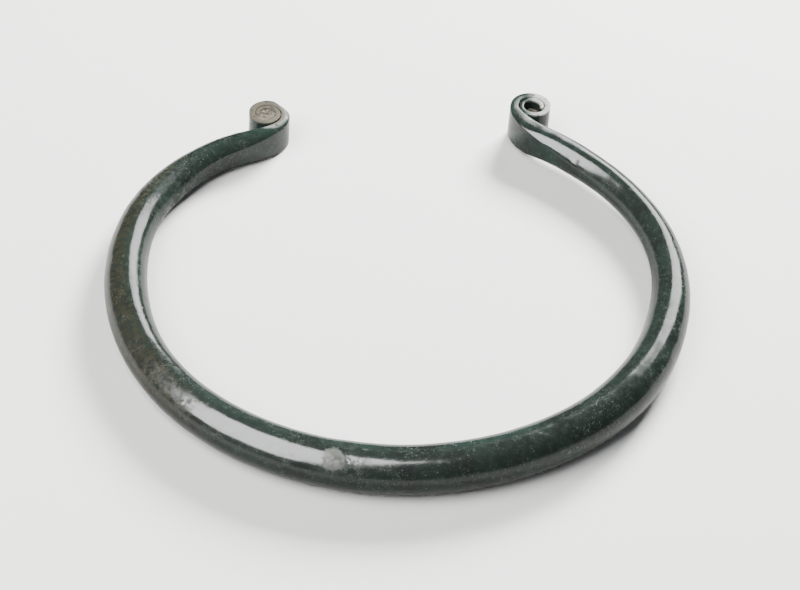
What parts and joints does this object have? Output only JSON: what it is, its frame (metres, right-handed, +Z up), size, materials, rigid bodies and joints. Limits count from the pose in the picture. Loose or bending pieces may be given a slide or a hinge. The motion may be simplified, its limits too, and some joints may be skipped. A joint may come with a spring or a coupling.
{
  "type": "torc",
  "caption": "Open bronze neck ring of round bar, each end hammered flat, swung outward and rolled into a small upright scroll.",
  "frame": {"origin": "middle of the torc's footprint, on the surface it lies on", "axes": "+Z up from that surface, +Y out through the mouth between the scrolls, +X toward the right arm seen from above with the mouth away"},
  "size_m": [0.1488, 0.1454, 0.0122],
  "materials": {
    "bronze": "dark green patina, glossy"
  },
  "bodies": {
    "root": {"torc": "bronze"}
  },
  "joints": []
}
